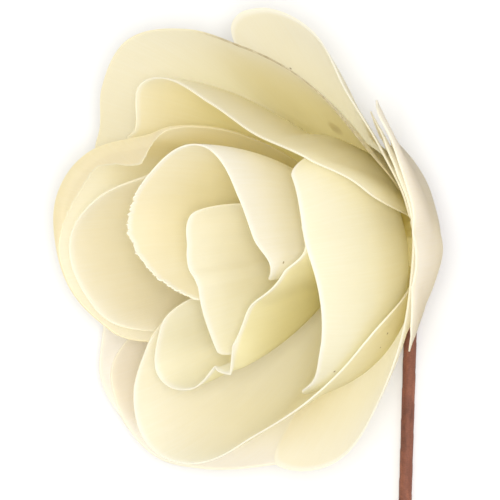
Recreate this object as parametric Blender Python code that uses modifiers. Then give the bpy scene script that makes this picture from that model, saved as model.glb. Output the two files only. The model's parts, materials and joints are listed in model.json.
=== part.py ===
"""Crepe paper rose: one open bloom of waxed ivory crepe paper on a wrapped wire stem.

Metres, +Z up.  The bloom is modelled in its own frame (its axis is the local z,
the gathered feet of the petals at the origin) and lies on its side as the cut
stem lets it rest.  Every petal is a separate sheet bent over one family of nested
bowls, so that no two sheets meet; the rim of each petal is a short list of
stations, each an azimuth round the bloom in degrees, a radius and a height in mm.
"""

import bpy
import bmesh
import numpy as np
from math import acos, cos, pi, radians, sin, sqrt, tan
from mathutils import Matrix, Vector

MM = 0.001

# paper and the stacking of the petal feet, mm
PAPER = 0.25            # waxed crepe paper
LAYER_OUT = 0.54        # from one gathered petal foot to the next, outwards
LAYER_DOWN = 0.60       # and how much lower each next petal starts to spread
FOOT_RADIUS = 1.05      # innermost petal, gathered round the top of the wire
COLLAR = 3.0            # straight gathered foot below the spread of a petal
GATHER_TO = -9.5        # and every foot reaches at least this far down into the tape
CLEAR = 0.54            # offset out and down from whatever lies inside a petal
LOOSER = 0.03           # and this much more for each layer inside it,
LOOSE_FROM = 3.0        # full from this height above the feet
AZ_STEP = 3             # degrees, of the tables used for nesting the petals
Z_LOW, Z_HIGH = -16, 48
SIDE_KEEP = 9.0         # degrees a petal keeps clear beyond the side edge of another

# the narrow torn strip folded over at the rim of the outer left petal
FLAP_PETAL = "petal_outer_left"
FLAP_FROM, FLAP_TO = 120.0, 196.0
FLAP_WIDTH = 4.0
FLAP_HEM = 0.7

# stem, mm
WIRE_RADIUS = 0.6
WIRE_TOP = 3.0
WIRE_PROUD = 0.5        # bare wire beyond the tape at the cut end
TAPE_MIDDLE = 1.0       # middle of the tape's wall round the wire
TAPE = 0.3
TAPE_CLEAR = 0.72       # middle of its wall from the middle of the outermost foot
TAPE_TOP = -8.4         # the tape's top edge round the gathered feet
TAPE_GRIP = -10.6        # below this it narrows down to the wire
TAPE_NARROW = -13.2
NECK_DROP = 18.0        # along the bloom axis from the petal feet to the bend
BEND_RADIUS = 3.6
STEM_LENGTH = 125.0     # from the bend to the cut end
STEM_LEAN = -0.03       # sideways run of the stem for its length
STEM_DIP = -0.02        # and its fall towards the floor

# how the bloom lies, degrees
TURN = 40.0             # bloom axis away from straight up, towards -X
NOD = 6.0               # and a little towards the stem end
REST_X = -0.888          # small settling angles of the whole piece on the floor
REST_Y = 8.565

IVORY = (0.86, 0.78, 0.60)
IVORY_PALE = (0.87, 0.81, 0.67)
IVORY_DEEP = (0.84, 0.73, 0.50)
BROWN = (0.27, 0.105, 0.055)
STEEL = (0.42, 0.40, 0.38)

# Each petal from the heart outwards: name, colour, bowl height, fullness of the
# bowl (small is full, large is a cone), degrees of rounding at its two side
# edges, columns of the sheet, and the rim stations (azimuth, radius, height).
PETALS = [
    ("petal_heart", IVORY_DEEP, 46, 0.80, 12, 2, 16, [
        (95, 11.0, 37), (110, 8.9, 40), (128, 4.8, 41), (185, 2.9, 41),
        (238, 3.9, 40), (249, 10.0, 37), (256, 18.4, 32)]),
    ("petal_bud_wrap", IVORY_DEEP, 46, 0.75, 10, 10, 24, [
        (234, 7.8, 36), (206, 9.9, 38), (184, 13.7, 39), (159, 19.0, 40),
        (125, 19.6, 40), (87, 20.6, 40), (55, 14.4, 40), (24, 12.0, 40),
        (0, 11.6, 37), (-25, 7.6, 33)]),
    ("petal_inner_low", IVORY, 42, 0.66, 12, 10, 22, [
        (200, 17.5, 31), (211, 21.1, 32), (223, 28.6, 31), (240, 25.6, 32),
        (257, 17.4, 34), (301, 8.8, 35), (354, 12.8, 35), (368, 17.0, 34),
        (390, 16.6, 33)]),
    ("petal_inner_right", IVORY, 22, 0.45, 12, 12, 16, [
        (58, 20.6, 30), (46, 20.4, 33), (15, 18.2, 35), (-9, 19.1, 34),
        (-44, 22.3, 31), (-61, 23.8, 28), (-80, 24.0, 26)]),
    ("petal_mid_low", IVORY, 36, 0.52, 10, 14, 18, [
        (200, 27.5, 26), (208, 29.8, 26), (219, 37.8, 28), (230, 42.5, 28),
        (244, 40.0, 28), (266, 30.6, 28), (292, 26.0, 27), (320, 25.0, 25),
        (343, 26.0, 21)]),
    ("petal_mid_left", IVORY, 38, 0.60, 12, 10, 12, [
        (128, 23.0, 27), (144, 25.6, 30), (158, 31.2, 34), (175, 37.0, 34),
        (194, 34.5, 32), (203, 32.0, 29), (209, 31.0, 27)]),
    ("petal_outer_left", IVORY, 37, 0.58, 8, 10, 18, [
        (118, 27.4, 29), (132, 29.6, 31), (148, 36.5, 34), (163, 40.7, 34),
        (176, 41.0, 33), (188, 40.0, 31), (202, 35.4, 28), (211, 33.5, 25)]),
    ("petal_inner_top", IVORY, 36, 0.60, 10, 10, 18, [
        (150, 38.5, 26), (137, 33.8, 28), (124, 36.8, 31), (114, 35.0, 32),
        (96, 27.6, 33), (73, 22.9, 33), (46, 23.9, 31), (30, 25.6, 26),
        (16, 25.2, 20)]),
    ("petal_outer_top_left", IVORY, 48, 0.85, 14, 12, 24, [
        (164, 44.0, 24), (147, 41.8, 26), (136, 44.2, 28), (122, 45.6, 29),
        (106, 41.6, 28), (90, 36.6, 27), (62, 31.6, 25), (44, 28.4, 22),
        (26, 27.4, 19)]),
    ("petal_outer_top_right", IVORY_PALE, 60, 0.90, 16, 10, 16, [
        (112, 45.6, 19), (101, 43.0, 19), (88, 42.6, 20.5), (72, 39.8, 22),
        (56, 33.9, 23), (36, 30.3, 21.5), (20, 28.8, 19.5), (4, 27.0, 17.5)]),
    ("petal_outer_right", IVORY_PALE, 50, 0.85, 20, 8, 22, [
        (58, 31.2, 20), (48, 31.2, 21), (35, 30.4, 21), (15, 29.6, 20),
        (-9, 28.1, 20), (-32, 29.6, 21), (-50, 32.3, 22), (-71, 36.7, 22),
        (-86, 37.4, 22), (-102, 36.0, 21)]),
    ("petal_outer_low", IVORY, 27, 0.52, 12, 26, 16, [
        (198, 45.0, 20), (208, 46.8, 21), (218, 48.1, 22), (230, 46.7, 23),
        (243, 42.2, 23), (258, 38.6, 20), (272, 38.6, 16)]),
    ("petal_outer_low_left", IVORY, 25, 0.50, 16, 14, 14, [
        (172, 40.0, 15), (186, 37.6, 16), (198, 36.4, 19), (207, 42.2, 22),
        (217, 49.0, 21), (232, 49.6, 18)]),
    ("petal_back_right", IVORY_PALE, 23, 0.75, 13, 20, 16, [
        (56, 27.5, 20.5), (45, 27.5, 21), (31, 28.0, 20.8), (14, 29.0, 20.5),
        (0, 30.4, 21.5), (-14, 28.6, 20.5), (-28, 27.4, 19.5), (-43, 28.5, 18.5)]),
]


# small tools

def clear_scene():
    for old in list(bpy.data.objects):
        bpy.data.objects.remove(old, do_unlink=True)


def make_collection(name):
    col = bpy.data.collections.new(name)
    bpy.context.scene.collection.children.link(col)
    return col


def make_material(name, colour, roughness, metallic=0.0):
    mat = bpy.data.materials.new(name)
    mat.use_nodes = True
    shader = mat.node_tree.nodes["Principled BSDF"]
    shader.inputs["Base Color"].default_value = (*colour, 1.0)
    shader.inputs["Roughness"].default_value = roughness
    shader.inputs["Metallic"].default_value = metallic
    return mat


def smooth_step(x):
    x = min(1.0, max(0.0, x))
    return x * x * (3.0 - 2.0 * x)


# the petals

def along(stations, azimuth, field):
    """Radius (1) or height (2) of a rim at an azimuth, a smooth curve through them."""
    pts = sorted(stations)
    last = len(pts) - 1
    azimuth = min(max(azimuth, pts[0][0]), pts[last][0])
    i = 0
    while i < last - 1 and azimuth > pts[i + 1][0]:
        i += 1

    def slope(n):
        m, p = max(n - 1, 0), min(n + 1, last)
        return (pts[p][field] - pts[m][field]) / (pts[p][0] - pts[m][0])

    wide = pts[i + 1][0] - pts[i][0]
    t = (azimuth - pts[i][0]) / wide
    h00 = 2 * t ** 3 - 3 * t ** 2 + 1
    h10 = t ** 3 - 2 * t ** 2 + t
    h11 = t ** 3 - t ** 2
    value = h00 * pts[i][field] + h10 * wide * slope(i)
    return value + (1 - h00) * pts[i + 1][field] + h11 * wide * slope(i + 1)


def station_azimuth(stations, s):
    """Azimuth at s, 0 to 1 along the stations."""
    last = len(stations) - 1
    x = min(max(s, 0.0), 1.0) * last
    i = min(int(x), last - 1)
    return stations[i][0] + (stations[i + 1][0] - stations[i][0]) * (x - i)


def covers(stations, azimuth):
    """Whether a petal's foot lies at this azimuth."""
    low = min(p[0] for p in stations) - SIDE_KEEP
    high = max(p[0] for p in stations) + SIDE_KEEP
    off = (azimuth - (low + high) / 2 + 180.0) % 360.0 - 180.0
    return abs(off) < (high - low) / 2


def count_layers():
    """For each petal, how many layers are gathered inside it at its thickest."""
    layers = []
    for petal in PETALS:
        deepest = 0
        for azimuth in range(0, 360, 5):
            if covers(petal[7], azimuth):
                inner = [n + 1 for n, other in zip(layers, PETALS) if covers(other[7], azimuth)]
                deepest = max([deepest] + inner)
        layers.append(deepest)
    return layers


LAYERS = count_layers()


def bowl(t, fullness):
    """Spread of the bowl at t, 0 at its bottom and 1 where it stands upright."""
    return max(t * (2.0 - t), 0.0) ** fullness


def foot_end(index):
    """Height of the lower edge of a petal's gathered foot."""
    return min(-LAYER_DOWN * LAYERS[index] - COLLAR, GATHER_TO)


def free_radius(index, azimuth, z):
    """Radius of a petal at a height, as it would stand with nothing inside it."""
    height, fullness, stations = PETALS[index][2], PETALS[index][3], PETALS[index][7]
    foot = FOOT_RADIUS + LAYER_OUT * LAYERS[index]
    drop = LAYER_DOWN * LAYERS[index]
    rim = along(stations, azimuth, 2)
    full = bowl((rim + drop) / (height + drop), fullness)
    reach = (along(stations, azimuth, 1) - foot) / full
    t = min(max((z + drop) / (height + drop), 0.0), 1.6)
    return foot + reach * bowl(t, fullness)


def look_up(table, azimuth, z):
    x = (azimuth % 360.0) / AZ_STEP
    y = min(max(z - Z_LOW, 0.0), table.shape[1] - 1.001)
    i, j = int(x), int(y)
    k = (i + 1) % table.shape[0]
    fx, fy = x - i, y - j
    near = table[i, j] * (1 - fy) + table[i, j + 1] * fy
    far = table[k, j] * (1 - fy) + table[k, j + 1] * fy
    return near * (1 - fx) + far * fx


def spread_out(table):
    """The table widened a little round the bloom and upwards, then softened."""
    wide = table.copy()
    for turn in (-1, 1):
        wide = np.maximum(wide, np.roll(table, turn, axis=0))
    tall = wide.copy()
    for up in (1, 2, 3):
        tall[:, up:] = np.maximum(tall[:, up:], wide[:, :-up])
    soft = (np.roll(tall, 1, axis=0) + tall * 2 + np.roll(tall, -1, axis=0)) / 4
    return np.maximum(soft, wide)


def nest_petals():
    """For each petal, the table of what lies inside it (azimuth by height)."""
    inside = np.full((int(360 / AZ_STEP), int(Z_HIGH - Z_LOW)), FOOT_RADIUS - CLEAR)
    tables = []
    for index, petal in enumerate(PETALS):
        tables.append(spread_out(inside))
        stations = petal[7]
        low = min(p[0] for p in stations)
        high = max(p[0] for p in stations)
        first = int((low - SIDE_KEEP) // AZ_STEP)
        for step in range(first, int((high + SIDE_KEEP) // AZ_STEP) + 2):
            azimuth = min(max(step * AZ_STEP, low), high)
            rim = along(stations, azimuth, 2)
            end = foot_end(index)
            for j in range(int(end - Z_LOW) - 1, int(rim - Z_LOW) + 1):
                r = petal_radius(index, tables[index], azimuth, j + Z_LOW)
                cell = step % inside.shape[0]
                inside[cell, j] = max(inside[cell, j], r)
    tables.append(spread_out(inside))
    return tables


def petal_radius(index, table, azimuth, z):
    """Radius of a petal where it stands clear of the petals inside it."""
    clear = CLEAR + LOOSER * LAYERS[index] * smooth_step(z / LOOSE_FROM)
    return max(free_radius(index, azimuth, z), look_up(table, azimuth, z + clear) + clear)


def petal_point(index, table, s, climb):
    """A point of the petal's middle surface; climb < 0 is the gathered foot."""
    _, _, height, fullness, fall_a, fall_b, _, stations = PETALS[index]
    azimuth = station_azimuth(stations, s)
    rim = along(stations, azimuth, 2)
    drop = LAYER_DOWN * LAYERS[index]
    side = min(abs(azimuth - stations[0][0]) / fall_a,
               abs(azimuth - stations[-1][0]) / fall_b, 1.0)
    round_off = sqrt(max(0.0, 1.0 - (1.0 - side) ** 2))
    if climb < 0.0:
        z = -drop - climb * (foot_end(index) + drop)
    else:
        top = (rim + drop) / (height + drop) * (0.45 + 0.55 * round_off)
        t = 1.0 - cos(acos(1.0 - min(top, 1.999)) * climb)
        z = -drop + t * (height + drop)
    r = petal_radius(index, table, azimuth, z)
    a = radians(azimuth)
    return Vector((r * cos(a), r * sin(a), z)) * MM


def flap_point(rim, azimuth, part):
    """A point of the strip folded inwards over the rim; part 0 to 1 to its edge."""
    x = min(max((azimuth - FLAP_FROM) / (FLAP_TO - FLAP_FROM), 0.0), 1.0)
    width = FLAP_HEM + (FLAP_WIDTH - FLAP_HEM) * sin(pi * x) ** 0.7
    inward = Vector((-cos(radians(azimuth)), -sin(radians(azimuth)), 0.0))
    lift = 0.25 * sin(pi * min(part * 2.0, 1.0)) - 0.16 * width * part
    return rim + (inward * width * part + Vector((0.0, 0.0, lift))) * MM


def petal_sheet(index, table):
    """The bent sheet of one petal, rows from the foot to the rim."""
    columns = PETALS[index][6]
    climbs = [-1.0, -0.4, 0.0, 0.14, 0.3, 0.47, 0.65, 0.83, 1.0]
    if PETALS[index][0] == FLAP_PETAL:
        climbs += [1.5, 2.0]
    bm = bmesh.new()
    bmesh.ops.create_grid(bm, x_segments=columns, y_segments=len(climbs) - 1, size=0.5)
    for v in bm.verts:
        row = round((v.co.y + 0.5) * (len(climbs) - 1))
        s, climb = v.co.x + 0.5, climbs[row]
        v.co = petal_point(index, table, s, min(climb, 1.0))
        if climb > 1.0:
            v.co = flap_point(v.co.copy(), station_azimuth(PETALS[index][7], s), climb - 1.0)
    return bm


def add_petal(index, table, parent, collection):
    name, colour = PETALS[index][:2]
    bm = petal_sheet(index, table)
    mesh = bpy.data.meshes.new(name)
    bm.to_mesh(mesh)
    bm.free()
    mesh.polygons.foreach_set("use_smooth", [True] * len(mesh.polygons))
    ob = bpy.data.objects.new(name, mesh)
    collection.objects.link(ob)
    ob.parent = parent
    thick = ob.modifiers.new("paper", "SOLIDIFY")
    thick.thickness = PAPER * MM
    thick.offset = 0.0
    ob.data.materials.append(make_material(name, colour, 0.55))
    return ob


# the stem

def bloom_axis():
    return Vector((-sin(radians(TURN)) * cos(radians(NOD)), -sin(radians(NOD)),
                   cos(radians(TURN)) * cos(radians(NOD))))


def stem_path(start, end_extra):
    """The wire's centre line in the rest frame from a height on the bloom axis."""
    axis = bloom_axis()
    run = Vector((STEM_LEAN, -1.0, STEM_DIP)).normalized()
    corner = axis * -NECK_DROP
    turn = (-axis).angle(run)
    tangent = BEND_RADIUS * tan(turn / 2)
    begin = corner + axis * tangent
    centre = begin + (run - (-axis) * (-axis).dot(run)).normalized() * BEND_RADIUS
    normal = axis.cross(-run).normalized()
    if (Matrix.Rotation(0.1, 3, normal) @ (-axis)).dot(run) < (-axis).dot(run):
        normal = -normal
    path = [axis * start]
    path += [centre + Matrix.Rotation(turn * k / 6, 3, normal) @ (begin - centre)
             for k in range(7)]
    path.append(corner + run * (STEM_LENGTH + end_extra))
    return path


def add_wire(parent, collection):
    path = stem_path(WIRE_TOP, WIRE_PROUD)
    curve = bpy.data.curves.new("stem_wire", "CURVE")
    curve.dimensions = "3D"
    curve.bevel_depth = WIRE_RADIUS * MM
    curve.bevel_resolution = 2
    curve.use_fill_caps = True
    spline = curve.splines.new("POLY")
    spline.points.add(len(path) - 1)
    for point, co in zip(spline.points, path):
        point.co = (*(co * MM), 1.0)
    ob = bpy.data.objects.new("stem_wire", curve)
    collection.objects.link(ob)
    ob.parent = parent
    curve.materials.append(make_material("stem_wire", STEEL, 0.45, 1.0))
    return ob


def tape_radius(table, azimuth, z):
    """Middle of the tape's wall round the bloom axis at a height."""
    grip = max(look_up(table, azimuth + side, TAPE_TOP + up)
               for side in (-7.5, 0.0, 7.5) for up in (-1.0, 0.0, 0.8)) + TAPE_CLEAR
    narrow = smooth_step((z - TAPE_NARROW) / (TAPE_GRIP - TAPE_NARROW))
    return TAPE_MIDDLE + (grip - TAPE_MIDDLE) * narrow


def add_tape(table, parent, collection):
    """The paper tape: a thin tube on the wire that opens out over the petal feet."""
    around = 24
    slope = [TAPE_GRIP + (TAPE_NARROW - TAPE_GRIP) * part for part in (0.27, 0.65)]
    heights = [TAPE_TOP, TAPE_GRIP] + slope + [TAPE_NARROW]
    path = stem_path(TAPE_NARROW, 0.0)
    rows = len(heights) + len(path) - 1
    bm = bmesh.new()
    bmesh.ops.create_grid(bm, x_segments=around, y_segments=rows - 1, size=0.5)
    turned = Matrix.Rotation(radians(-TURN), 3, "Y") @ Matrix.Rotation(radians(NOD), 3, "X")
    for v in bm.verts:
        azimuth = 360.0 * (v.co.x + 0.5)
        row = round((v.co.y + 0.5) * (rows - 1))
        out = Vector((cos(radians(azimuth)), sin(radians(azimuth)), 0.0))
        if row < len(heights):
            radius = tape_radius(table, azimuth, heights[row])
            v.co = turned @ (out * radius + Vector((0.0, 0.0, heights[row]))) * MM
            continue
        k = row - len(heights) + 1
        before = (path[k] - path[k - 1]).normalized()
        after = (path[min(k + 1, len(path) - 1)] - path[k])
        along_path = (before + after.normalized()).normalized() if after.length else before
        lean = (-bloom_axis()).rotation_difference(along_path)
        v.co = (path[k] + (lean @ (turned @ out)) * TAPE_MIDDLE) * MM
    bmesh.ops.remove_doubles(bm, verts=bm.verts, dist=0.00001)
    bmesh.ops.recalc_face_normals(bm, faces=bm.faces)
    mesh = bpy.data.meshes.new("stem_tape")
    bm.to_mesh(mesh)
    bm.free()
    mesh.polygons.foreach_set("use_smooth", [True] * len(mesh.polygons))
    ob = bpy.data.objects.new("stem_tape", mesh)
    collection.objects.link(ob)
    ob.parent = parent
    thick = ob.modifiers.new("tape", "SOLIDIFY")
    thick.thickness = TAPE * MM
    thick.offset = 0.0
    mesh.materials.append(make_material("stem_tape", BROWN, 0.7))
    return ob


# the build

def add_empty(name, parent, collection, angles):
    ob = bpy.data.objects.new(name, None)
    collection.objects.link(ob)
    ob.parent = parent
    ob.rotation_euler = [radians(a) for a in angles]
    return ob


def set_down(rest, collection):
    """Put the lowest point on the floor and the middle of the piece over the origin."""
    bpy.context.view_layer.update()
    graph = bpy.context.evaluated_depsgraph_get()
    points = []
    for ob in collection.objects:
        shape = ob.evaluated_get(graph)
        points += [ob.matrix_world @ v.co for v in shape.to_mesh().vertices]
        shape.to_mesh_clear()
    low = [min(p[k] for p in points) for k in range(3)]
    high = [max(p[k] for p in points) for k in range(3)]
    rest.location = (-(low[0] + high[0]) / 2, -(low[1] + high[1]) / 2, -low[2])


def build():
    clear_scene()
    rose = make_collection("crepe_paper_rose")
    guides = make_collection("guides")
    guides.hide_render = True
    rest = add_empty("rest_frame", None, guides, (REST_X, REST_Y, 0.0))
    bloom = add_empty("bloom_frame", rest, guides, (NOD, -TURN, 0.0))
    tables = nest_petals()
    for index in range(len(PETALS)):
        add_petal(index, tables[index], bloom, rose)
    add_wire(rest, rose)
    add_tape(tables[-1], rest, rose)
    set_down(rest, rose)


build()
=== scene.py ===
"""Looks of the crepe paper rose: fine petal sheets, wrapped stem, light and camera."""
import json
import random

import bmesh
import bpy
import numpy as np
from math import acos, cos, pi, radians, sin, sqrt, tan
from mathutils import Matrix, Vector

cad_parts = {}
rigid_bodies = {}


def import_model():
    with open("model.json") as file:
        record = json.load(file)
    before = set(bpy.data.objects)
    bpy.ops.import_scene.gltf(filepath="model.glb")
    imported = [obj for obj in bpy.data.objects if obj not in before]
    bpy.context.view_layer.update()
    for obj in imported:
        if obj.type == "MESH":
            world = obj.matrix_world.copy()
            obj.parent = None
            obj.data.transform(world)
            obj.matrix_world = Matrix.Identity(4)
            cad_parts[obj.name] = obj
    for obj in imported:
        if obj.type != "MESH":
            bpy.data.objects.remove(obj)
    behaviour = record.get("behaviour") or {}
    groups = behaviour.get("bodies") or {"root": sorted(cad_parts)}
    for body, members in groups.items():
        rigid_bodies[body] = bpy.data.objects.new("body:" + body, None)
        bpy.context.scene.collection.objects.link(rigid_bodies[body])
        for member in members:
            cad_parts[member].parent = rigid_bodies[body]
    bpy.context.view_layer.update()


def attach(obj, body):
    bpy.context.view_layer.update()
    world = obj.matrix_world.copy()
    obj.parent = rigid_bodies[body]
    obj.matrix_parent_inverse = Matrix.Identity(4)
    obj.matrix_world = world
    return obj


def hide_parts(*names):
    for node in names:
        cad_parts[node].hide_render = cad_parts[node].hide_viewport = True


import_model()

MM = 0.001

# where the rest frame of the model stands, mm
REST_AT = (17.331, 41.490, 16.451)

# camera, in the rest frame: the photograph's view
CAMERA_X, CAMERA_Y = -18.185, -1.212
CAMERA_AWAY = 600.0
CAMERA_LENS = 243.2
SENSOR = 36.0

# paper and the stacking of the petal feet, mm
PAPER = 0.25            # waxed crepe paper
LAYER_OUT = 0.54        # from one gathered petal foot to the next, outwards
LAYER_DOWN = 0.60       # and how much lower each next petal starts to spread
FOOT_RADIUS = 1.05      # innermost petal, gathered round the top of the wire
COLLAR = 3.0            # straight gathered foot below the spread of a petal
GATHER_TO = -9.5        # and every foot reaches at least this far down into the tape
CLEAR = 0.54            # offset out and down from whatever lies inside a petal
LOOSER = 0.03           # and this much more for each layer inside it,
LOOSE_FROM = 3.0        # full from this height above the feet
AZ_STEP = 3             # degrees, of the tables used for nesting the petals
Z_LOW, Z_HIGH = -16, 48
SIDE_KEEP = 9.0         # degrees a petal keeps clear beyond the side edge of another

# the narrow torn strip folded over at the rim of the outer left petal
FLAP_PETAL = "petal_outer_left"

# stem, mm
TAPE_MIDDLE = 1.0       # middle of the tape's wall round the wire
TAPE = 0.3
TAPE_CLEAR = 0.72       # middle of its wall from the middle of the outermost foot
TAPE_TOP = -8.4         # the tape's top edge round the gathered feet
TAPE_GRIP = -10.6       # below this it narrows down to the wire
TAPE_NARROW = -13.2
NECK_DROP = 18.0        # along the bloom axis from the petal feet to the bend
BEND_RADIUS = 3.6
STEM_LENGTH = 125.0     # from the bend to the cut end
STEM_LEAN = -0.03       # sideways run of the stem for its length
STEM_DIP = -0.02        # and its fall towards the floor

# how the rose lies, degrees
TURN = 40.0             # bloom axis away from straight up, towards -X
NOD = 6.0               # and a little towards the stem end
REST_X = -0.888         # small settling angles of the whole piece on the floor
REST_Y = 8.565


PETALS = [
    ("petal_heart", "paper_deep", 46, 0.80, 12, 2, 16, [
        (95, 11.0, 37), (110, 8.9, 40), (128, 4.8, 41), (185, 2.9, 41),
        (238, 3.9, 40), (249, 10.0, 37), (256, 18.4, 32)]),
    ("petal_bud_wrap", "paper_deep", 46, 0.75, 10, 10, 24, [
        (234, 7.8, 36), (206, 9.9, 38), (184, 13.7, 39), (159, 19.0, 40),
        (125, 19.6, 40), (87, 20.6, 40), (55, 14.4, 40), (24, 12.0, 40),
        (0, 11.6, 37), (-25, 7.6, 33)]),
    ("petal_inner_low", "paper_ivory", 42, 0.66, 12, 10, 22, [
        (200, 17.5, 31), (211, 21.1, 32), (223, 28.6, 31), (240, 25.6, 32),
        (257, 17.4, 34), (301, 8.8, 35), (354, 12.8, 35), (368, 17.0, 34),
        (390, 16.6, 33)]),
    ("petal_inner_right", "paper_ivory", 22, 0.45, 12, 12, 16, [
        (58, 20.6, 30), (46, 20.4, 33), (15, 18.2, 35), (-9, 19.1, 34),
        (-44, 22.3, 31), (-61, 23.8, 28), (-80, 24.0, 26)]),
    ("petal_mid_low", "paper_ivory", 36, 0.52, 10, 14, 18, [
        (200, 27.5, 26), (208, 29.8, 26), (219, 37.8, 28), (230, 42.5, 28),
        (244, 40.0, 28), (266, 30.6, 28), (292, 26.0, 27), (320, 25.0, 25),
        (343, 26.0, 21)]),
    ("petal_mid_left", "paper_ivory", 38, 0.60, 12, 10, 12, [
        (128, 23.0, 27), (144, 25.6, 30), (158, 31.2, 34), (175, 37.0, 34),
        (194, 34.5, 32), (203, 32.0, 29), (209, 31.0, 27)]),
    ("petal_outer_left", "paper_ivory", 37, 0.58, 8, 10, 18, [
        (118, 27.4, 29), (132, 29.6, 31), (148, 36.5, 34), (163, 40.7, 34),
        (176, 41.0, 33), (188, 40.0, 31), (202, 35.4, 28), (211, 33.5, 25)]),
    ("petal_inner_top", "paper_ivory", 36, 0.60, 10, 10, 18, [
        (150, 38.5, 26), (137, 33.8, 28), (124, 36.8, 31), (114, 35.0, 32),
        (96, 27.6, 33), (73, 22.9, 33), (46, 23.9, 31), (30, 25.6, 26),
        (16, 25.2, 20)]),
    ("petal_outer_top_left", "paper_ivory", 48, 0.85, 14, 12, 24, [
        (164, 44.0, 24), (147, 41.8, 26), (136, 44.2, 28), (122, 45.6, 29),
        (106, 41.6, 28), (90, 36.6, 27), (62, 31.6, 25), (44, 28.4, 22),
        (26, 27.4, 19)]),
    ("petal_outer_top_right", "paper_pale", 60, 0.90, 16, 10, 16, [
        (112, 45.6, 19), (101, 43.0, 19), (88, 42.6, 20.5), (72, 39.8, 22),
        (56, 33.9, 23), (36, 30.3, 21.5), (20, 28.8, 19.5), (4, 27.0, 17.5)]),
    ("petal_outer_right", "paper_pale", 50, 0.85, 20, 8, 22, [
        (58, 31.2, 20), (48, 31.2, 21), (35, 30.4, 21), (15, 29.6, 20),
        (-9, 28.1, 20), (-32, 29.6, 21), (-50, 32.3, 22), (-71, 36.7, 22),
        (-86, 37.4, 22), (-102, 36.0, 21)]),
    ("petal_outer_low", "paper_ivory", 27, 0.52, 12, 26, 16, [
        (198, 45.0, 20), (208, 46.8, 21), (218, 48.1, 22), (230, 46.7, 23),
        (243, 42.2, 23), (258, 38.6, 20), (272, 38.6, 16)]),
    ("petal_outer_low_left", "paper_ivory", 25, 0.50, 16, 14, 14, [
        (172, 40.0, 15), (186, 37.6, 16), (198, 36.4, 19), (207, 42.2, 22),
        (217, 49.0, 21), (232, 49.6, 18)]),
    ("petal_back_right", "paper_pale", 23, 0.75, 13, 20, 16, [
        (56, 27.5, 20.5), (45, 27.5, 21), (31, 28.0, 20.8), (14, 29.0, 20.5),
        (0, 30.4, 21.5), (-14, 28.6, 20.5), (-28, 27.4, 19.5), (-43, 28.5, 18.5)]),
]

# rows and columns of the petal meshes
ROWS = 56
COLUMNS = {"petal_bud_wrap": 420, "petal_outer_left": 360}
COLUMNS_USUAL = 110
SOFTEN_PASSES = 5
SOFTEN_SHARE = 0.6
PAPER_CREASE_ANGLE = 50.0               # degrees, keeps the cut edge crisp

# the torn rim of the bud wrap
TORN_PETAL = "petal_bud_wrap"
TORN_FROM, TORN_TO = 126, 236           # degrees of azimuth
TORN_EASE_IN, TORN_EASE_OUT = 22, 20
TORN_DEPTH, TORN_TEETH = 0.008, 0.010   # shares of the climb from foot to rim
TORN_REACH = 10                         # power that keeps the bite near the rim

# widths of the folded strip along the rim of the outer left petal, mm by azimuth
FLAP_STATIONS = [(118, 0.3, 0), (124, 0.5, 0), (128, 1.0, 0), (131, 1.7, 0), (134.5, 3.0, 0),
                 (138.4, 5.3, 0), (142, 6.4, 0), (146, 4.9, 0), (149.5, 3.5, 0), (153, 3.7, 0),
                 (156.5, 3.9, 0), (160, 3.8, 0), (163.4, 3.5, 0), (166.5, 2.9, 0),
                 (169.5, 2.2, 0), (172.5, 1.6, 0), (175.6, 0.9, 0), (179, 0.5, 0),
                 (211, 0.3, 0)]
FLAP_ROWS = 14
FLAP_LEAST = 0.3                        # mm of width
FLAP_TOOTH, FLAP_TOOTH_SHARE = 0.14, 0.05
FLAP_RISE, FLAP_RISE_WIDTH = 0.30, 2.4  # mm, over the crease
FLAP_FALL, FLAP_FALL_CURVE = 0.17, 1.2  # and down towards the torn edge

# the tape's wound look
TAPE_AROUND = 40
TAPE_COLLAR_ROWS = 24
TAPE_BEND_STEPS, TAPE_RUN_STEPS = 3, 520
LAP_PITCH = 5.5                         # mm a turn
LAP_STEP, LAP_SINK = 0.075, 0.02        # mm, of the lapped edge
LAP_SHARP, LAP_FADE = 9, 0.75
TAPE_WAVE = 0.012                       # mm, of its unevenness
TAPE_WELD = 0.000002                    # m, joins the seam of the tube
TAPE_CREASE_ANGLE = 60.0

# seeds of the random draws
NOISE_COUNT = 256
PETAL_SEED, FLAP_SEED, TAPE_SEED = 11, 5, 21
PAPER_SEED, PAPER_SEED_STEP, OUTSIDE_SEED_STEP = 3.1, 1.7, 0.9

# paper: linear colours at the rim and at the foot, inside and outside; the deeper yellow towards
# the foot is partly the paper's own tone and partly painted shade, the warm light bounced deep
# in the folds
PAPER_AND_FOLD_SHADE_TONES = {
    "paper_ivory": ((0.972, 0.934, 0.845), (0.992, 0.944, 0.650)),
    "paper_deep": ((0.980, 0.938, 0.825), (0.995, 0.948, 0.630)),
    "paper_pale": ((0.968, 0.936, 0.865), (0.985, 0.942, 0.720)),
}
OUTSIDE = ((0.955, 0.946, 0.945), (0.962, 0.945, 0.905))
# painted highlight: the paler colour of the thin band along the cut rim
CUT_EDGE_HIGHLIGHT = (0.975, 0.962, 0.925)

# share of blue kept by the inside and the outside of each petal; the enclosed inner petals keep
# less, partly their own tone and partly painted shade of the yellow light bounced between them
YELLOW = {
    "petal_heart": (0.94, 0.94), "petal_bud_wrap": (0.97, 0.99),
    "petal_inner_low": (0.84, 0.95), "petal_inner_right": (0.93, 0.90),
    "petal_mid_low": (0.90, 0.97), "petal_mid_left": (0.97, 0.99),
    "petal_outer_left": (1.0, 1.0), "petal_inner_top": (0.99, 0.92),
    "petal_outer_top_left": (0.96, 0.98), "petal_outer_top_right": (0.96, 1.0),
    "petal_outer_right": (0.97, 1.0), "petal_outer_low": (1.05, 1.03),
    "petal_outer_low_left": (1.05, 1.03), "petal_back_right": (1.02, 1.05),
}

# these two lie open to the lamps and are a little greyer in the photo: their colour is dimmed as
# painted shade
PAINTED_SHADE_DIMMING = {"petal_outer_top_left": 0.96, "petal_outer_top_right": 0.965}

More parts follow.
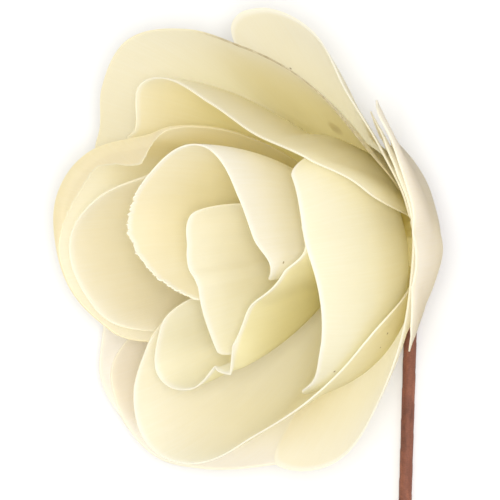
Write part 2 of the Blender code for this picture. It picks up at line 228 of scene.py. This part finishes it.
# how much light goes through, and its tint; the bud's petals let less through
SEE_THROUGH_INSIDE, SEE_THROUGH_OUTSIDE = 0.82, 0.78
TINT_INSIDE, TINT_OUTSIDE = (1.0, 0.988, 0.92), (1.0, 0.995, 0.965)
DENSER = ("petal_heart", "petal_bud_wrap", "petal_inner_low", "petal_inner_right",
          "petal_mid_low")
DENSER_BY = 0.22

# grain of the paper: noise scales along the sheet (streaks, hairs) and in the room
STREAKS, HAIRS = (150.0, 4.0, 1.0), (520.0, 14.0, 1.0)
CLOUDS, GRAIN = 38.0, 1500.0
CLOUD_SHADE, STREAK_SHADE = (0.985, 0.975, 0.92), (0.985, 0.975, 0.94)
SPECK_SCALE, SPECK_SIZE, SPECK_RARE, SPECK_DEPTH = 88.0, 0.022, 0.90, 0.7
SPECK_COLOUR = (0.36, 0.25, 0.13)
PAPER_BUMP, PAPER_BUMP_HEIGHT = 0.35, 0.00012

# marks on the paper: place in m, radius in m, colour and depth of the mark; the specks are dirt
# stains, the dent's mark is painted shade
DIRT = (0.20, 0.12, 0.06)
DENT_SHADE = (0.56, 0.48, 0.30)
MARKS = {
    "petal_outer_top_left": [((0.01556, 0.06165, 0.02653), 0.0021, DENT_SHADE, 0.38)],
    "petal_outer_top_right": [((0.00756, 0.07219, 0.02605), 0.0003, DIRT, 0.8)],
    "petal_bud_wrap": [((0.00981, 0.03869, 0.05087), 0.0003, DIRT, 0.8)],
    "petal_mid_low": [((0.02611, 0.02640, 0.03929), 0.00028, DIRT, 0.8),
                      ((0.02485, 0.02398, 0.03881), 0.0002, DIRT, 0.7)],
    "petal_inner_right": [((0.01760, 0.02009, 0.04409), 0.00028, DIRT, 0.9)],
}
# a dark broken line drawn along the right rim of this petal
DARK_RIM_PETAL = "petal_outer_top_left"
RIM_LINE_COLOUR = (0.55, 0.47, 0.31)

# floor, light and camera
FLOOR_HALF = 1.6
FLOOR_TONES = (0.84, 0.84, 0.84), (0.87, 0.87, 0.87)
WORLD_LIGHT = 0.72
SEEN_WHITE = 1.0
KEY_AT, KEY_SIZE, KEY_POWER = (0.115, 0.05, 0.78), 0.20, 3.8
FILL_AT, FILL_SIZE, FILL_POWER = (0.45, -0.35, 0.55), 0.6, 0.4
LAMPS_AIM = (0.0, 0.03, 0.02)
CLIP_START = 0.01

BLACK, WHITE = (0, 0, 0), (1, 1, 1)


def smooth_step(x):
    x = min(1.0, max(0.0, x))
    return x * x * (3.0 - 2.0 * x)


def along(stations, azimuth, field):
    """Radius (1) or height (2) of a rim at an azimuth, a smooth curve through them."""
    pts = sorted(stations)
    last = len(pts) - 1
    azimuth = min(max(azimuth, pts[0][0]), pts[last][0])
    i = 0
    while i < last - 1 and azimuth > pts[i + 1][0]:
        i += 1

    def slope(n):
        m, p = max(n - 1, 0), min(n + 1, last)
        return (pts[p][field] - pts[m][field]) / (pts[p][0] - pts[m][0])

    wide = pts[i + 1][0] - pts[i][0]
    t = (azimuth - pts[i][0]) / wide
    h00 = 2 * t ** 3 - 3 * t ** 2 + 1
    h10 = t ** 3 - 2 * t ** 2 + t
    h11 = t ** 3 - t ** 2
    value = h00 * pts[i][field] + h10 * wide * slope(i)
    return value + (1 - h00) * pts[i + 1][field] + h11 * wide * slope(i + 1)


def station_azimuth(stations, s):
    """Azimuth at s, 0 to 1 along the stations."""
    last = len(stations) - 1
    x = min(max(s, 0.0), 1.0) * last
    i = min(int(x), last - 1)
    return stations[i][0] + (stations[i + 1][0] - stations[i][0]) * (x - i)


def covers(stations, azimuth):
    """Whether a petal's foot lies at this azimuth."""
    low = min(p[0] for p in stations) - SIDE_KEEP
    high = max(p[0] for p in stations) + SIDE_KEEP
    off = (azimuth - (low + high) / 2 + 180.0) % 360.0 - 180.0
    return abs(off) < (high - low) / 2


def count_layers():
    """For each petal, how many layers are gathered inside it at its thickest."""
    layers = []
    for petal in PETALS:
        deepest = 0
        for azimuth in range(0, 360, 5):
            if covers(petal[7], azimuth):
                inner = [n + 1 for n, other in zip(layers, PETALS) if covers(other[7], azimuth)]
                deepest = max([deepest] + inner)
        layers.append(deepest)
    return layers


LAYERS = count_layers()


def bowl(t, fullness):
    """Spread of the bowl at t, 0 at its bottom and 1 where it stands upright."""
    return max(t * (2.0 - t), 0.0) ** fullness


def foot_end(index):
    """Height of the lower edge of a petal's gathered foot."""
    return min(-LAYER_DOWN * LAYERS[index] - COLLAR, GATHER_TO)


def free_radius(index, azimuth, z):
    """Radius of a petal at a height, as it would stand with nothing inside it."""
    height, fullness, stations = PETALS[index][2], PETALS[index][3], PETALS[index][7]
    foot = FOOT_RADIUS + LAYER_OUT * LAYERS[index]
    drop = LAYER_DOWN * LAYERS[index]
    rim = along(stations, azimuth, 2)
    full = bowl((rim + drop) / (height + drop), fullness)
    reach = (along(stations, azimuth, 1) - foot) / full
    t = min(max((z + drop) / (height + drop), 0.0), 1.6)
    return foot + reach * bowl(t, fullness)


def look_up(table, azimuth, z):
    x = (azimuth % 360.0) / AZ_STEP
    y = min(max(z - Z_LOW, 0.0), table.shape[1] - 1.001)
    i, j = int(x), int(y)
    k = (i + 1) % table.shape[0]
    fx, fy = x - i, y - j
    near = table[i, j] * (1 - fy) + table[i, j + 1] * fy
    far = table[k, j] * (1 - fy) + table[k, j + 1] * fy
    return near * (1 - fx) + far * fx


def spread_out(table):
    """The table widened a little round the bloom and upwards, then softened."""
    wide = table.copy()
    for turn in (-1, 1):
        wide = np.maximum(wide, np.roll(table, turn, axis=0))
    tall = wide.copy()
    for up in (1, 2, 3):
        tall[:, up:] = np.maximum(tall[:, up:], wide[:, :-up])
    soft = (np.roll(tall, 1, axis=0) + tall * 2 + np.roll(tall, -1, axis=0)) / 4
    return np.maximum(soft, wide)


def nest_petals():
    """For each petal, the table of what lies inside it (azimuth by height)."""
    inside = np.full((int(360 / AZ_STEP), int(Z_HIGH - Z_LOW)), FOOT_RADIUS - CLEAR)
    tables = []
    for index, petal in enumerate(PETALS):
        tables.append(spread_out(inside))
        stations = petal[7]
        low = min(p[0] for p in stations)
        high = max(p[0] for p in stations)
        first = int((low - SIDE_KEEP) // AZ_STEP)
        for step in range(first, int((high + SIDE_KEEP) // AZ_STEP) + 2):
            azimuth = min(max(step * AZ_STEP, low), high)
            rim = along(stations, azimuth, 2)
            end = foot_end(index)
            for j in range(int(end - Z_LOW) - 1, int(rim - Z_LOW) + 1):
                r = petal_radius(index, tables[index], azimuth, j + Z_LOW)
                cell = step % inside.shape[0]
                inside[cell, j] = max(inside[cell, j], r)
    tables.append(spread_out(inside))
    return tables


def petal_radius(index, table, azimuth, z):
    """Radius of a petal where it stands clear of the petals inside it."""
    clear = CLEAR + LOOSER * LAYERS[index] * smooth_step(z / LOOSE_FROM)
    return max(free_radius(index, azimuth, z), look_up(table, azimuth, z + clear) + clear)


def petal_point(index, table, s, climb):
    """A point of the petal's middle surface; climb < 0 is the gathered foot."""
    _, _, height, fullness, fall_a, fall_b, _, stations = PETALS[index]
    azimuth = station_azimuth(stations, s)
    rim = along(stations, azimuth, 2)
    drop = LAYER_DOWN * LAYERS[index]
    side = min(abs(azimuth - stations[0][0]) / fall_a,
               abs(azimuth - stations[-1][0]) / fall_b, 1.0)
    round_off = sqrt(max(0.0, 1.0 - (1.0 - side) ** 2))
    if climb < 0.0:
        z = -drop - climb * (foot_end(index) + drop)
    else:
        top = (rim + drop) / (height + drop) * (0.45 + 0.55 * round_off)
        t = 1.0 - cos(acos(1.0 - min(top, 1.999)) * climb)
        z = -drop + t * (height + drop)
    r = petal_radius(index, table, azimuth, z)
    a = radians(azimuth)
    return Vector((r * cos(a), r * sin(a), z)) * MM


def bloom_axis():
    return Vector((-sin(radians(TURN)) * cos(radians(NOD)), -sin(radians(NOD)),
                   cos(radians(TURN)) * cos(radians(NOD))))


def stem_path(start):
    """The wire's centre line in the rest frame from a height on the bloom axis."""
    axis = bloom_axis()
    run = Vector((STEM_LEAN, -1.0, STEM_DIP)).normalized()
    corner = axis * -NECK_DROP
    turn = (-axis).angle(run)
    tangent = BEND_RADIUS * tan(turn / 2)
    begin = corner + axis * tangent
    centre = begin + (run - (-axis) * (-axis).dot(run)).normalized() * BEND_RADIUS
    normal = axis.cross(-run).normalized()
    if (Matrix.Rotation(0.1, 3, normal) @ (-axis)).dot(run) < (-axis).dot(run):
        normal = -normal
    path = [axis * start]
    path += [centre + Matrix.Rotation(turn * k / 6, 3, normal) @ (begin - centre)
             for k in range(7)]
    path.append(corner + run * STEM_LENGTH)
    return path


def tape_radius(table, azimuth, z):
    """Middle of the tape's wall round the bloom axis at a height."""
    grip = max(look_up(table, azimuth + side, TAPE_TOP + up)
               for side in (-7.5, 0.0, 7.5) for up in (-1.0, 0.0, 0.8)) + TAPE_CLEAR
    narrow = smooth_step((z - TAPE_NARROW) / (TAPE_GRIP - TAPE_NARROW))
    return TAPE_MIDDLE + (grip - TAPE_MIDDLE) * narrow


# Fine geometry

REST = (Matrix.Translation(Vector(REST_AT) * MM)
        @ Matrix.Rotation(radians(REST_Y), 4, "Y") @ Matrix.Rotation(radians(REST_X), 4, "X"))
BLOOM = REST @ Matrix.Rotation(radians(-TURN), 4, "Y") @ Matrix.Rotation(radians(NOD), 4, "X")


def grey(value):
    return (value,) * 3


def value_noise(seed):
    """A smooth random curve, -1 to 1, one draw a unit."""
    rng = random.Random(seed)
    values = [rng.uniform(-1, 1) for _ in range(NOISE_COUNT)]

    def at(x):
        i = int(x // 1)
        t = x - i
        t = t * t * (3 - 2 * t)
        return values[i % NOISE_COUNT] * (1 - t) + values[(i + 1) % NOISE_COUNT] * t
    return at


def deckle(index, azimuth, noise):
    """How far the torn rim of the bud wrap is bitten down, as a share of the climb."""
    if PETALS[index][0] != TORN_PETAL:
        return 0.0
    amount = (smooth_step((azimuth - TORN_FROM) / TORN_EASE_IN)
              * smooth_step((TORN_TO - azimuth) / TORN_EASE_OUT))
    rough = 0.5 * noise(azimuth * 0.9) + 0.5 * noise(azimuth * 2.3 + 7)
    return amount * (TORN_DEPTH + TORN_TEETH * rough)


def soften(grid, passes):
    """Grid of points, lightly smoothed inside, the rim row kept in place."""
    for _ in range(passes):
        inner = grid[1:-1, 1:-1]
        around = (grid[:-2, 1:-1] + grid[2:, 1:-1] + grid[1:-1, :-2] + grid[1:-1, 2:]) / 4
        grid[1:-1, 1:-1] = inner * (1 - SOFTEN_SHARE) + around * SOFTEN_SHARE
    return grid


def petal_grid(index, table, columns):
    """Points of a petal's middle surface, foot row first, in metres."""
    climbs = [-1.0, -0.5] + [(k / (ROWS - 3)) for k in range(ROWS - 2)]
    noise = value_noise(PETAL_SEED + index)
    grid = np.zeros((len(climbs), columns + 1, 3))
    for c in range(columns + 1):
        s = c / columns
        azimuth = station_azimuth(PETALS[index][7], s)
        bite = deckle(index, azimuth, noise)
        for r, climb in enumerate(climbs):
            eased = climb * (1 - bite * max(climb, 0.0) ** TORN_REACH)
            grid[r, c] = petal_point(index, table, s, eased)
    return soften(grid, SOFTEN_PASSES)


def add_flap(index, grid, columns):
    """Rows folded inwards over the rim, to a torn edge."""
    noise = value_noise(FLAP_SEED)
    extra = np.zeros((FLAP_ROWS, columns + 1, 3))
    for c in range(columns + 1):
        azimuth = station_azimuth(PETALS[index][7], c / columns)
        width = along(FLAP_STATIONS, azimuth, 1)
        width += (min(FLAP_TOOTH_SHARE * width, FLAP_TOOTH)
                  * (noise(azimuth * 1.1) + 0.7 * noise(azimuth * 2.7 + 3)))
        width = max(width, FLAP_LEAST)
        a = radians(azimuth)
        inward = np.array((-cos(a), -sin(a), 0.0))
        rim = grid[-1, c]
        for k in range(FLAP_ROWS):
            part = (k + 1) / FLAP_ROWS
            rise = FLAP_RISE * sin(pi * min(part * width / FLAP_RISE_WIDTH, 1.0))
            lift = rise - FLAP_FALL * width * part ** FLAP_FALL_CURVE
            extra[k, c] = rim + (inward * width * part + np.array((0, 0, lift))) * MM
    return np.concatenate([grid, extra], axis=0)


def sheet_object(name, grid, thickness, matrix, materials):
    """A sheet of paper from a grid of points: the first material inside, the last outside."""
    rows, cols = grid.shape[:2]
    verts = [matrix @ Vector(p) for p in grid.reshape(-1, 3)]
    faces = [(r * cols + c, r * cols + c + 1, (r + 1) * cols + c + 1, (r + 1) * cols + c)
             for r in range(rows - 1) for c in range(cols - 1)]
    mesh = bpy.data.meshes.new(name)
    mesh.from_pydata(verts, [], faces)
    layer = mesh.uv_layers.new(name="sheet")
    uv = np.zeros((len(mesh.loops), 2), np.float32)
    index = np.zeros(len(mesh.loops), np.int32)
    mesh.loops.foreach_get("vertex_index", index)
    uv[:, 0] = (index % cols) / (cols - 1)
    uv[:, 1] = (index // cols) / (rows - 1)
    layer.data.foreach_set("uv", uv.ravel())
    mesh.polygons.foreach_set("use_smooth", [True] * len(mesh.polygons))
    for material in materials:
        mesh.materials.append(material)
    ob = bpy.data.objects.new(name, mesh)
    bpy.context.scene.collection.objects.link(ob)
    solid = ob.modifiers.new("paper", "SOLIDIFY")
    solid.thickness = thickness
    solid.offset = 0.0
    solid.material_offset = len(materials) - 1
    return ob


def bake_and_sharpen(ob, angle):
    """Apply the modifiers and keep the cut rim of the paper crisp."""
    graph = bpy.context.evaluated_depsgraph_get()
    mesh = bpy.data.meshes.new_from_object(ob.evaluated_get(graph))
    ob.modifiers.clear()
    ob.data = mesh
    bm = bmesh.new()
    bm.from_mesh(mesh)
    for e in bm.edges:
        e.smooth = not (len(e.link_faces) == 2 and e.calc_face_angle(0) > radians(angle))
    bm.to_mesh(mesh)
    bm.free()


# Materials

class Nodes:
    """A short way to build a node tree."""

    def __init__(self, mat):
        mat.use_nodes = True
        self.tree = mat.node_tree
        self.tree.nodes.clear()

    def add(self, kind, settings=None, **inputs):
        node = self.tree.nodes.new(kind)
        for key, value in (settings or {}).items():
            setattr(node, key, value)
        for key, value in inputs.items():
            self.put(node, key.replace("_", " "), value)
        return node

    def put(self, node, key, value):
        socket = node.inputs[int(key)] if key.isdigit() else node.inputs[key]
        if hasattr(value, "links") or hasattr(value, "is_linked"):
            self.tree.links.new(value, socket)
        else:
            socket.default_value = value

    def ramp(self, source, stops):
        node = self.add("ShaderNodeValToRGB")
        self.tree.links.new(source, node.inputs[0])
        node.color_ramp.interpolation = "EASE"
        while len(node.color_ramp.elements) < len(stops):
            node.color_ramp.elements.new(0.5)
        for element, (place, colour) in zip(node.color_ramp.elements, stops):
            element.position = place
            element.color = (*colour, 1.0)
        return node.outputs[0]

    def math(self, operation, a, b):
        node = self.add("ShaderNodeMath", {"operation": operation})
        for k, value in enumerate((a, b)):
            self.put(node, str(k), value)
        return node.outputs[0]

    def mix(self, factor, a, b, blend="MIX"):
        node = self.add("ShaderNodeMix", {"data_type": "RGBA", "blend_type": blend})
        self.put(node, "0", factor)
        for k, value in ((6, a), (7, b)):
            if isinstance(value, tuple):
                node.inputs[k].default_value = (*value, 1.0)
            else:
                self.tree.links.new(value, node.inputs[k])
        return node.outputs[2]

    def noise(self, vector, scale, detail, rough):
        node = self.add("ShaderNodeTexNoise", Scale=scale, Detail=detail, Roughness=rough)
        self.tree.links.new(vector, node.inputs["Vector"])
        return node.outputs["Fac"]


def stretched(n, vector, scale, shift=(0.0, 0.0, 0.0)):
    """The coordinates scaled and shifted, for streaks and for another draw of a noise."""
    node = n.add("ShaderNodeMapping")
    node.inputs["Scale"].default_value = scale
    node.inputs["Location"].default_value = shift
    n.tree.links.new(vector, node.inputs["Vector"])
    return node.outputs[0]


def add_marks(n, places, colour, marks):
    """Small dirt stains, and painted shade for the soft dent, each round its own place on the
    petal.
    """
    for place, radius, stain_and_shade, depth in marks:
        away = n.add("ShaderNodeVectorMath", {"operation": "DISTANCE"})
        n.tree.links.new(places, away.inputs[0])
        away.inputs[1].default_value = place
        near = n.ramp(n.math("DIVIDE", away.outputs["Value"], radius),
                      [(0.0, grey(depth)), (0.45, grey(depth * 0.8)), (1.0, BLACK)])
        colour = n.mix(near, colour, stain_and_shade)
    return colour


def soil_rim(n, uv, climb, colour, seed):
    """The dark broken line along the right rim of the outer top left petal."""
    side = n.ramp(climb.outputs[0], [(0.50, BLACK), (0.60, WHITE), (0.90, WHITE),
                                     (0.97, BLACK)])
    edge = n.ramp(climb.outputs[1], [(0.982, BLACK), (0.995, WHITE)])
    broken = n.ramp(n.noise(stretched(n, uv, (60.0, 6.0, 1.0), (seed, 0, 0)), 1.0, 4.0, 0.6),
                    [(0.36, grey(0.15)), (0.62, grey(0.70))])
    return n.mix(n.math("MULTIPLY", n.math("MULTIPLY", side, edge), broken), colour, RIM_LINE_COLOUR)


def paper_material(name, rim, foot, seed, tint, see_through, marks=(), dark_rim=False):
    """Waxed crepe paper: fine fibre streaks from foot to rim, cloudy ivory, a few specks."""
    mat = bpy.data.materials.new(name)
    n = Nodes(mat)
    uv = n.add("ShaderNodeTexCoord").outputs["UV"]
    obj = n.add("ShaderNodeTexCoord").outputs["Object"]
    streaks = n.noise(stretched(n, uv, STREAKS, (seed, 0, 0)), 1.0, 6.0, 0.65)
    hairs = n.noise(stretched(n, uv, HAIRS, (0, seed, 0)), 1.0, 3.0, 0.5)
    clouds = n.noise(stretched(n, obj, (1.0, 1.0, 1.0), (seed, seed, 0)), CLOUDS, 4.0, 0.6)
    grain = n.noise(obj, GRAIN, 2.0, 0.6)
    climb = n.add("ShaderNodeSeparateXYZ")
    n.tree.links.new(uv, climb.inputs[0])
    middle = tuple((a + b) / 2 for a, b in zip(foot, rim))
    # yellower towards the foot: partly the paper's tone, partly painted shade of the light
    # bounced in the folds
    base = n.ramp(climb.outputs[1], [(0.20, foot), (0.62, middle), (0.96, rim)])
    mottled = n.mix(n.ramp(clouds, [(0.35, BLACK), (0.7, grey(0.5))]), base,
                    n.mix(1.0, base, CLOUD_SHADE, "MULTIPLY"))
    fibred = n.mix(n.ramp(streaks, [(0.40, grey(0.55)), (0.66, BLACK)]), mottled,
                   n.mix(1.0, mottled, STREAK_SHADE, "MULTIPLY"))
    specks = n.add("ShaderNodeTexVoronoi", {"feature": "F1"}, Scale=SPECK_SCALE,
                   Randomness=1.0)
    n.tree.links.new(stretched(n, obj, (1.0, 1.0, 1.0), (seed * 0.37, 0, seed)),
                     specks.inputs["Vector"])
    dot = n.ramp(specks.outputs["Distance"], [(0.0, WHITE), (SPECK_SIZE, BLACK)])
    split = n.tree.nodes.new("ShaderNodeSeparateColor")
    n.tree.links.new(specks.outputs["Color"], split.inputs[0])
    rare = n.math("GREATER_THAN", split.outputs[0], SPECK_RARE)
    dirt = n.math("MULTIPLY", dot, rare)
    coloured = n.mix(n.math("MULTIPLY", dirt, SPECK_DEPTH), fibred, SPECK_COLOUR)
    coloured = add_marks(n, obj, coloured, marks)
    if dark_rim:
        coloured = soil_rim(n, uv, climb, coloured, seed)
    else:
        # painted highlight: a thin paler band along the cut rim
        cut = n.ramp(climb.outputs[1], [(0.978, BLACK), (0.994, grey(0.85))])
        coloured = n.mix(cut, coloured, CUT_EDGE_HIGHLIGHT)
    bumps = n.math("ADD", n.math("MULTIPLY", streaks, 0.55),
                   n.math("ADD", n.math("MULTIPLY", hairs, 0.3),
                          n.math("MULTIPLY", grain, 0.25)))
    bump = n.add("ShaderNodeBump", Strength=PAPER_BUMP, Distance=PAPER_BUMP_HEIGHT)
    n.tree.links.new(bumps, bump.inputs["Height"])
    wax = n.add("ShaderNodeBsdfPrincipled")
    n.tree.links.new(coloured, wax.inputs["Base Color"])
    n.tree.links.new(n.ramp(streaks, [(0.3, grey(0.46)), (0.7, grey(0.58))]),
                     wax.inputs["Roughness"])
    wax.inputs["Specular IOR Level"].default_value = 0.28
    wax.inputs["Sheen Weight"].default_value = 0.06
    wax.inputs["Sheen Roughness"].default_value = 0.6
    n.tree.links.new(bump.outputs[0], wax.inputs["Normal"])
    through = n.add("ShaderNodeBsdfTranslucent")
    n.tree.links.new(n.mix(1.0, coloured, tint, "MULTIPLY"), through.inputs["Color"])
    n.tree.links.new(bump.outputs[0], through.inputs["Normal"])
    both = n.add("ShaderNodeMixShader")
    both.inputs[0].default_value = see_through
    n.tree.links.new(wax.outputs[0], both.inputs[1])
    n.tree.links.new(through.outputs[0], both.inputs[2])
    out = n.add("ShaderNodeOutputMaterial")
    n.tree.links.new(both.outputs[0], out.inputs[0])
    return mat


def tape_material():
    """Brown paper tape, stretched: reddish blotches, fine creases with painted shade in their
    hollows.
    """
    mat = bpy.data.materials.new("stem_paper_tape")
    n = Nodes(mat)
    uv = n.add("ShaderNodeTexCoord").outputs["UV"]
    obj = n.add("ShaderNodeTexCoord").outputs["Object"]
    blotch = n.noise(stretched(n, obj, (1.0, 0.35, 1.0)), 420.0, 4.0, 0.6)
    crease = n.noise(stretched(n, uv, (14.0, 900.0, 1.0)), 1.0, 4.0, 0.6)
    fine = n.noise(obj, 2600.0, 2.0, 0.5)
    colour = n.ramp(blotch, [(0.3, (0.135, 0.050, 0.030)), (0.5, (0.235, 0.085, 0.050)),
                             (0.72, (0.36, 0.135, 0.075))])
    # painted shade: the hollows of the creases darkened in colour
    colour = n.mix(n.ramp(crease, [(0.42, grey(0.6)), (0.62, BLACK)]), colour,
                   n.mix(1.0, colour, (0.72, 0.66, 0.62), "MULTIPLY"))
    bump = n.add("ShaderNodeBump", Strength=0.5, Distance=0.0002)
    n.tree.links.new(n.math("ADD", crease, n.math("MULTIPLY", fine, 0.4)), bump.inputs["Height"])
    wax = n.add("ShaderNodeBsdfPrincipled", Roughness=0.62)
    n.tree.links.new(colour, wax.inputs["Base Color"])
    wax.inputs["Specular IOR Level"].default_value = 0.35
    n.tree.links.new(bump.outputs[0], wax.inputs["Normal"])
    out = n.add("ShaderNodeOutputMaterial")
    n.tree.links.new(wax.outputs[0], out.inputs[0])
    return mat


def wire_material():
    """Drawn steel, dull where it is rubbed."""
    mat = bpy.data.materials.new("cut_wire")
    n = Nodes(mat)
    obj = n.add("ShaderNodeTexCoord").outputs["Object"]
    rub = n.noise(stretched(n, obj, (3.0, 0.3, 3.0)), 900.0, 4.0, 0.6)
    steel = n.add("ShaderNodeBsdfPrincipled", Metallic=1.0)
    n.tree.links.new(n.ramp(rub, [(0.3, (0.24, 0.23, 0.22)), (0.7, (0.50, 0.48, 0.46))]),
                     steel.inputs["Base Color"])
    n.tree.links.new(n.ramp(rub, [(0.3, grey(0.38)), (0.7, grey(0.6))]),
                     steel.inputs["Roughness"])
    out = n.add("ShaderNodeOutputMaterial")
    n.tree.links.new(steel.outputs[0], out.inputs[0])
    return mat


def floor_material():
    """Matt white, faintly uneven."""
    mat = bpy.data.materials.new("studio_floor")
    n = Nodes(mat)
    obj = n.add("ShaderNodeTexCoord").outputs["Object"]
    tone = n.noise(obj, 6.0, 3.0, 0.5)
    white = n.add("ShaderNodeBsdfPrincipled", Roughness=0.9)
    n.tree.links.new(n.ramp(tone, [(0.3, FLOOR_TONES[0]), (0.7, FLOOR_TONES[1])]),
                     white.inputs["Base Color"])
    white.inputs["Specular IOR Level"].default_value = 0.1
    out = n.add("ShaderNodeOutputMaterial")
    n.tree.links.new(white.outputs[0], out.inputs[0])
    return mat


# Pieces

def make_petals(tables):
    """Every petal as a fine sheet in place of its plain solid."""
    for index, petal in enumerate(PETALS):
        name, slot = petal[0], petal[1]
        columns = COLUMNS.get(name, COLUMNS_USUAL)
        grid = petal_grid(index, tables[index], columns)
        if name == FLAP_PETAL:
            grid = add_flap(index, grid, columns)
        rim, foot = PAPER_AND_FOLD_SHADE_TONES[slot]
        seed = PAPER_SEED + PAPER_SEED_STEP * index
        within, without = YELLOW[name]
        # painted shade: the colours of these petals dimmed a little
        shade_dim = PAINTED_SHADE_DIMMING.get(name, 1.0)
        rim, foot = ((r * shade_dim, g * shade_dim, b * within * shade_dim) for r, g, b in (rim, foot))
        back = [(r * shade_dim, g * shade_dim, b * without * shade_dim) for r, g, b in OUTSIDE]
        marks = MARKS.get(name, ())
        dark_rim = name == DARK_RIM_PETAL
        dense = DENSER_BY if name in DENSER else 0.0
        inside = paper_material(name + "_inside", rim, foot, seed, TINT_INSIDE,
                                SEE_THROUGH_INSIDE - dense, marks, dark_rim)
        outside = paper_material(name + "_outside", *back, seed + OUTSIDE_SEED_STEP,
                                 TINT_OUTSIDE, SEE_THROUGH_OUTSIDE - dense, marks, dark_rim)
        ob = sheet_object(name + "_paper", grid, PAPER * MM, BLOOM, [inside, outside])
        bake_and_sharpen(ob, PAPER_CREASE_ANGLE)
        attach(ob, "root")
        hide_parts(name)


def make_tape(table):
    """The wrapped tape: a lapped spiral down the wire, opening over the petal feet."""
    path = stem_path(TAPE_NARROW)
    fine = []
    for k in range(len(path) - 1):
        steps = TAPE_BEND_STEPS if k < len(path) - 2 else TAPE_RUN_STEPS
        fine += [path[k].lerp(path[k + 1], j / steps) for j in range(steps)]
    fine.append(path[-1])
    heights = [TAPE_TOP + (TAPE_NARROW - TAPE_TOP) * k / TAPE_COLLAR_ROWS
               for k in range(TAPE_COLLAR_ROWS)]
    turned = Matrix.Rotation(radians(-TURN), 3, "Y") @ Matrix.Rotation(radians(NOD), 3, "X")
    noise = value_noise(TAPE_SEED)
    rows = []
    travel = 0.0
    for height in heights:
        ring = []
        for k in range(TAPE_AROUND + 1):
            azimuth = 360.0 * k / TAPE_AROUND
            out = Vector((cos(radians(azimuth)), sin(radians(azimuth)), 0.0))
            radius = tape_radius(table, azimuth, height)
            ring.append((turned @ (out * radius + Vector((0, 0, height)))) * MM)
        rows.append(ring)
    for i, p in enumerate(fine[1:], 1):
        before = (p - fine[i - 1]).normalized()
        after = (fine[min(i + 1, len(fine) - 1)] - p)
        way = (before + after.normalized()).normalized() if after.length else before
        lean = (-bloom_axis()).rotation_difference(way)
        travel += (p - fine[i - 1]).length
        ring = []
        for k in range(TAPE_AROUND + 1):
            azimuth = 360.0 * (k % TAPE_AROUND) / TAPE_AROUND
            out = Vector((cos(radians(azimuth)), sin(radians(azimuth)), 0.0))
            lap = (travel / LAP_PITCH - k / TAPE_AROUND) % 1.0
            edge = smooth_step(lap * LAP_SHARP) * (1 - LAP_FADE * lap)
            radius = TAPE_MIDDLE - LAP_SINK + LAP_STEP * edge
            radius += TAPE_WAVE * noise(travel * 0.7 + 9 * sin(radians(azimuth)))
            ring.append((p + (lean @ (turned @ out)) * radius) * MM)
        rows.append(ring)
    grid = np.array([[tuple(v) for v in ring] for ring in rows])
    ob = sheet_object("stem_tape_wrap", grid, TAPE * MM, REST, [tape_material()])
    bm = bmesh.new()
    bm.from_mesh(ob.data)
    bmesh.ops.remove_doubles(bm, verts=bm.verts, dist=TAPE_WELD)
    bmesh.ops.recalc_face_normals(bm, faces=bm.faces)
    bm.to_mesh(ob.data)
    bm.free()
    bake_and_sharpen(ob, TAPE_CREASE_ANGLE)
    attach(ob, "root")
    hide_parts("stem_tape")


def dress_wire():
    """The wire keeps its CAD shape and gets a better material."""
    for ob in bpy.data.objects:
        if ob.name == "stem_wire" or ob.name.startswith("stem_wire."):
            ob.data.materials.clear()
            ob.data.materials.append(wire_material())


# Floor, light, camera

def make_floor():
    mesh = bpy.data.meshes.new("studio_floor")
    half = FLOOR_HALF
    mesh.from_pydata([(-half, -half, 0), (half, -half, 0), (half, half, 0), (-half, half, 0)],
                     [], [(0, 1, 2, 3)])
    ob = bpy.data.objects.new("studio_floor", mesh)
    bpy.context.scene.collection.objects.link(ob)
    mesh.materials.append(floor_material())


def make_light():
    """Even white light, with the world seen as plain white behind the rose."""
    world = bpy.data.worlds.new("studio")
    bpy.context.scene.world = world
    world.use_nodes = True
    tree = world.node_tree
    tree.nodes.clear()
    soft = tree.nodes.new("ShaderNodeBackground")
    soft.inputs[0].default_value = (1.0, 1.0, 1.0, 1.0)
    soft.inputs[1].default_value = WORLD_LIGHT
    seen = tree.nodes.new("ShaderNodeBackground")
    seen.inputs[0].default_value = (1.0, 1.0, 1.0, 1.0)
    seen.inputs[1].default_value = SEEN_WHITE
    path = tree.nodes.new("ShaderNodeLightPath")
    mix = tree.nodes.new("ShaderNodeMixShader")
    out = tree.nodes.new("ShaderNodeOutputWorld")
    behind = path.outputs["Is Camera Ray"]
    for ray in ("Is Glossy Ray", "Is Transmission Ray"):
        either = tree.nodes.new("ShaderNodeMath")
        either.operation = "MAXIMUM"
        tree.links.new(behind, either.inputs[0])
        tree.links.new(path.outputs[ray], either.inputs[1])
        behind = either.outputs[0]
    tree.links.new(behind, mix.inputs[0])
    tree.links.new(soft.outputs[0], mix.inputs[1])
    tree.links.new(seen.outputs[0], mix.inputs[2])
    tree.links.new(mix.outputs[0], out.inputs[0])
    add_area("key", KEY_AT, KEY_SIZE, KEY_POWER)
    add_area("fill", FILL_AT, FILL_SIZE, FILL_POWER)


def add_area(name, place, size, power):
    lamp = bpy.data.lights.new(name, "AREA")
    lamp.shape = "DISK"
    lamp.size = size
    lamp.energy = power
    ob = bpy.data.objects.new(name, lamp)
    ob.location = place
    way = Vector(LAMPS_AIM) - Vector(place)
    ob.rotation_euler = way.to_track_quat("-Z", "Y").to_euler()
    bpy.context.scene.collection.objects.link(ob)


def make_camera():
    """The photograph's view, looking down on the rose."""
    cam = bpy.data.cameras.new("camera")
    cam.sensor_width = SENSOR
    cam.lens = CAMERA_LENS
    cam.clip_start = CLIP_START
    ob = bpy.data.objects.new("camera", cam)
    ob.matrix_world = REST @ Matrix.Translation(Vector((CAMERA_X, CAMERA_Y, CAMERA_AWAY)) * MM)
    bpy.context.scene.collection.objects.link(ob)
    bpy.context.scene.camera = ob


bpy.context.scene.view_settings.view_transform = "Standard"
make_camera()
nest = nest_petals()
make_petals(nest)
make_tape(nest[-1])
dress_wire()
make_floor()
make_light()
